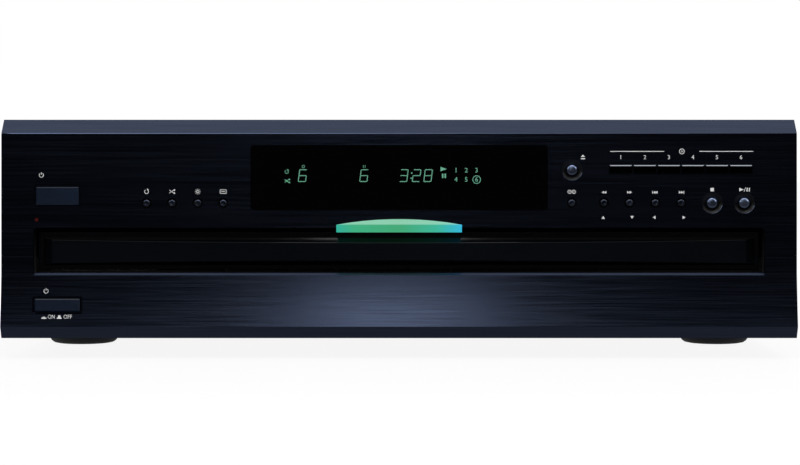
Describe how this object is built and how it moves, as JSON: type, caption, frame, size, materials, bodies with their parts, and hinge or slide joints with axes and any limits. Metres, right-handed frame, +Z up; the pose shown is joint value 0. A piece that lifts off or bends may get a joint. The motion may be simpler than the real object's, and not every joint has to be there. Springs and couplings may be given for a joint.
{
  "type": "multi disc player",
  "caption": "Full-width disc player with a front drawer carrying a rotating disc carousel, lifting spindle and pickup, display window and sprung buttons.",
  "frame": {"origin": "on the ground under the middle of the whole box", "axes": "+Z up, +X towards the right end seen from the front, the front faces -Y"},
  "size_m": [0.435, 0.433, 0.131],
  "materials": {
    "fascia": "brushed, dark blue-black anodised",
    "window": "smoked, glossy",
    "lens": "clear green, lit from behind",
    "moulding": "fine satin",
    "sheet_steel": "black, fine texture",
    "plated_steel": "plated sheet",
    "screw_steel": "black",
    "foot_moulding": "satin",
    "display_tube": "dark glass tube",
    "board": "green circuit board with parts",
    "lamp": "dark red",
    "transformer": "laminated core, wound bobbin",
    "socket_body": "black",
    "contact": "plated",
    "motor": "plated can",
    "belt": "black",
    "gear_white": "natural nylon",
    "gear_grey": "grey acetal",
    "drawer_face": "piano black",
    "drawer_tray": "fine satin",
    "carousel": "satin",
    "steel_rod": "ground",
    "pickup": "satin",
    "button_bright": "polished, cool",
    "button_dark": "glossy"
  },
  "bodies": {
    "casing": {"front_panel": "fascia", "display_window": "window", "slot_lens": "lens", "front_frame": "moulding", "chassis": "plated_steel", "rear_panel": "sheet_steel", "top_cover": "sheet_steel", "cover_screws": "screw_steel", "feet": "foot_moulding", "display_tube": "display_tube", "front_board": "board", "standby_lamp": "lamp", "main_board": "board", "transformer": "transformer", "rear_sockets": "socket_body", "socket_contacts": "contact", "mech_base": "moulding", "drive_motors": "motor", "drawer_belt": "belt", "clamp_bridge": "plated_steel"},
    "drawer": {"drawer_front": "drawer_face", "drawer_tray": "drawer_tray", "drawer_rack": "gear_grey", "carousel_motor": "motor"},
    "carousel_body": {"carousel": "carousel", "ring_gear": "gear_grey", "hub_cap": "carousel"},
    "carousel_pinion_body": {"carousel_pinion": "gear_white"},
    "drive_gear_body": {"drive_gear": "gear_white"},
    "pulley_gear_body": {"pulley_gear": "gear_white"},
    "motor_pulley_body": {"motor_pulley": "gear_white"},
    "traverse": {"traverse_deck": "moulding", "traverse_motors": "motor", "guide_rods": "steel_rod"},
    "turntable_body": {"turntable": "gear_grey"},
    "pickup": {"pickup_sled": "pickup"},
    "sled_gear_body": {"sled_gear": "gear_white"},
    "lift_cam_body": {"lift_cam": "gear_white"},
    "lift_gear_body": {"lift_gear": "gear_white"},
    "clamper_body": {"clamper": "gear_grey"},
    "repeat_button_body": {"repeat_button": "button_bright"},
    "random_button_body": {"random_button": "button_bright"},
    "dimmer_button_body": {"dimmer_button": "button_bright"},
    "display_button_body": {"display_button": "button_bright"},
    "disc_skip_button_body": {"disc_skip_button": "button_bright"},
    "rewind_button_body": {"rewind_button": "button_bright"},
    "forward_button_body": {"forward_button": "button_bright"},
    "previous_button_body": {"previous_button": "button_bright"},
    "next_button_body": {"next_button": "button_bright"},
    "eject_button_body": {"eject_button": "button_bright"},
    "stop_button_body": {"stop_button": "button_bright"},
    "play_pause_button_body": {"play_pause_button": "button_bright"},
    "disc_bar_1_body": {"disc_bar_1": "button_dark"},
    "disc_bar_2_body": {"disc_bar_2": "button_dark"},
    "disc_bar_3_body": {"disc_bar_3": "button_dark"},
    "disc_bar_4_body": {"disc_bar_4": "button_dark"},
    "disc_bar_5_body": {"disc_bar_5": "button_dark"},
    "disc_bar_6_body": {"disc_bar_6": "button_dark"},
    "standby_button_body": {"standby_button": "button_dark"},
    "power_button_body": {"power_button": "button_dark"}
  },
  "joints": [
    {"name": "drawer_slide", "type": "slide", "parent": "casing", "child": "drawer", "axis": [0, -1, 0], "range_m": [0, 0.285]},
    {"name": "carousel_spin", "type": "hinge", "parent": "drawer", "child": "carousel_body", "pos_m": [0, -0.0047, 0], "axis": [0, 0, 1], "continuous": true},
    {"name": "carousel_pinion_turn", "type": "hinge", "parent": "drawer", "child": "carousel_pinion_body", "pos_m": [0.0495, -0.0542, 0], "axis": [0, 0, 1], "continuous": true},
    {"name": "drive_gear_turn", "type": "hinge", "parent": "casing", "child": "drive_gear_body", "pos_m": [-0.1752, -0.172, 0], "axis": [0, 0, 1], "continuous": true},
    {"name": "pulley_gear_turn", "type": "hinge", "parent": "casing", "child": "pulley_gear_body", "pos_m": [-0.1467, -0.172, 0], "axis": [0, 0, 1], "continuous": true},
    {"name": "motor_pulley_turn", "type": "hinge", "parent": "casing", "child": "motor_pulley_body", "pos_m": [-0.0967, -0.172, 0], "axis": [0, 0, 1], "continuous": true},
    {"name": "traverse_lift", "type": "slide", "parent": "casing", "child": "traverse", "axis": [0, 0, 1], "range_m": [0, 0.0215]},
    {"name": "lift_cam_slide", "type": "slide", "parent": "casing", "child": "lift_cam_body", "axis": [1, 0, 0], "range_m": [0, 0.032]},
    {"name": "lift_gear_turn", "type": "hinge", "parent": "casing", "child": "lift_gear_body", "pos_m": [0.02, 0.0317, 0], "axis": [0, 0, 1], "continuous": true},
    {"name": "turntable_spin", "type": "hinge", "parent": "traverse", "child": "turntable_body", "pos_m": [0, 0.1198, 0], "axis": [0, 0, 1], "continuous": true},
    {"name": "pickup_slide", "type": "slide", "parent": "traverse", "child": "pickup", "axis": [0, -1, 0], "range_m": [0, 0.033]},
    {"name": "sled_gear_turn", "type": "hinge", "parent": "traverse", "child": "sled_gear_body", "pos_m": [-0.0395, 0.0908, 0], "axis": [0, 0, 1], "continuous": true},
    {"name": "clamper_spin", "type": "hinge", "parent": "casing", "child": "clamper_body", "pos_m": [0, 0.1198, 0], "axis": [0, 0, 1], "continuous": true},
    {"name": "repeat_button_press", "type": "slide", "parent": "casing", "child": "repeat_button_body", "axis": [0, 1, 0], "range_m": [0, 0.001], "stiffness_N_per_m": 900},
    {"name": "random_button_press", "type": "slide", "parent": "casing", "child": "random_button_body", "axis": [0, 1, 0], "range_m": [0, 0.001], "stiffness_N_per_m": 900},
    {"name": "dimmer_button_press", "type": "slide", "parent": "casing", "child": "dimmer_button_body", "axis": [0, 1, 0], "range_m": [0, 0.001], "stiffness_N_per_m": 900},
    {"name": "display_button_press", "type": "slide", "parent": "casing", "child": "display_button_body", "axis": [0, 1, 0], "range_m": [0, 0.001], "stiffness_N_per_m": 900},
    {"name": "disc_skip_button_press", "type": "slide", "parent": "casing", "child": "disc_skip_button_body", "axis": [0, 1, 0], "range_m": [0, 0.001], "stiffness_N_per_m": 900},
    {"name": "rewind_button_press", "type": "slide", "parent": "casing", "child": "rewind_button_body", "axis": [0, 1, 0], "range_m": [0, 0.001], "stiffness_N_per_m": 900},
    {"name": "forward_button_press", "type": "slide", "parent": "casing", "child": "forward_button_body", "axis": [0, 1, 0], "range_m": [0, 0.001], "stiffness_N_per_m": 900},
    {"name": "previous_button_press", "type": "slide", "parent": "casing", "child": "previous_button_body", "axis": [0, 1, 0], "range_m": [0, 0.001], "stiffness_N_per_m": 900},
    {"name": "next_button_press", "type": "slide", "parent": "casing", "child": "next_button_body", "axis": [0, 1, 0], "range_m": [0, 0.001], "stiffness_N_per_m": 900},
    {"name": "eject_button_press", "type": "slide", "parent": "casing", "child": "eject_button_body", "axis": [0, 1, 0], "range_m": [0, 0.001], "stiffness_N_per_m": 900},
    {"name": "stop_button_press", "type": "slide", "parent": "casing", "child": "stop_button_body", "axis": [0, 1, 0], "range_m": [0, 0.001], "stiffness_N_per_m": 900},
    {"name": "play_pause_button_press", "type": "slide", "parent": "casing", "child": "play_pause_button_body", "axis": [0, 1, 0], "range_m": [0, 0.001], "stiffness_N_per_m": 900},
    {"name": "disc_bar_1_press", "type": "slide", "parent": "casing", "child": "disc_bar_1_body", "axis": [0, 1, 0], "range_m": [0, 0.001], "stiffness_N_per_m": 900},
    {"name": "disc_bar_2_press", "type": "slide", "parent": "casing", "child": "disc_bar_2_body", "axis": [0, 1, 0], "range_m": [0, 0.001], "stiffness_N_per_m": 900},
    {"name": "disc_bar_3_press", "type": "slide", "parent": "casing", "child": "disc_bar_3_body", "axis": [0, 1, 0], "range_m": [0, 0.001], "stiffness_N_per_m": 900},
    {"name": "disc_bar_4_press", "type": "slide", "parent": "casing", "child": "disc_bar_4_body", "axis": [0, 1, 0], "range_m": [0, 0.001], "stiffness_N_per_m": 900},
    {"name": "disc_bar_5_press", "type": "slide", "parent": "casing", "child": "disc_bar_5_body", "axis": [0, 1, 0], "range_m": [0, 0.001], "stiffness_N_per_m": 900},
    {"name": "disc_bar_6_press", "type": "slide", "parent": "casing", "child": "disc_bar_6_body", "axis": [0, 1, 0], "range_m": [0, 0.001], "stiffness_N_per_m": 900},
    {"name": "standby_button_press", "type": "slide", "parent": "casing", "child": "standby_button_body", "axis": [0, 1, 0], "range_m": [0, 0.001], "stiffness_N_per_m": 900},
    {"name": "power_button_press", "type": "slide", "parent": "casing", "child": "power_button_body", "axis": [0, 1, 0], "range_m": [0, 0.003], "stiffness_N_per_m": 500}
  ],
  "couplings": [
    {"joint": "drive_gear_turn", "follows": "drawer_slide", "rad_per_m": 66.667},
    {"joint": "pulley_gear_turn", "follows": "drawer_slide", "rad_per_m": -144.44},
    {"joint": "motor_pulley_turn", "follows": "drawer_slide", "rad_per_m": -401.23},
    {"joint": "carousel_pinion_turn", "follows": "carousel_spin", "ratio": -3},
    {"joint": "lift_cam_slide", "follows": "traverse_lift", "ratio": 1.4884},
    {"joint": "lift_gear_turn", "follows": "traverse_lift", "rad_per_m": -141.75},
    {"joint": "sled_gear_turn", "follows": "pickup_slide", "rad_per_m": -125}
  ]
}
